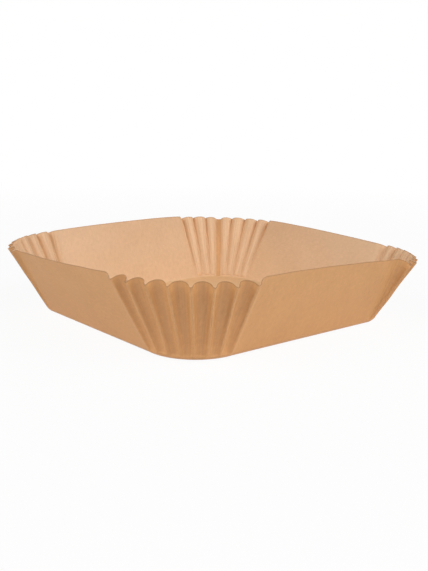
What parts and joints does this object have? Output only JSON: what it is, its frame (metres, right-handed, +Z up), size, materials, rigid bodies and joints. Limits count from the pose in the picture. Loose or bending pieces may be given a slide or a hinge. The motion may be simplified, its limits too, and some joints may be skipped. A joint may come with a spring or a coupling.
{
  "type": "air fryer paper liner",
  "caption": "Square disposable paper tray liner with leaning plain walls, fluted round corners and a scalloped rim.",
  "frame": {"origin": "centre of the underside of the flat floor", "axes": "+Z up out of the open top; X and Y square to the four plain walls; the most upright fluted corners are at -X -Y and +X +Y"},
  "size_m": [0.208, 0.208, 0.0442],
  "materials": {
    "brown_paper": "unbleached brown baking paper, matte with a faint waxy sheen"
  },
  "bodies": {
    "root": {"paper_liner": "brown_paper"}
  },
  "joints": []
}
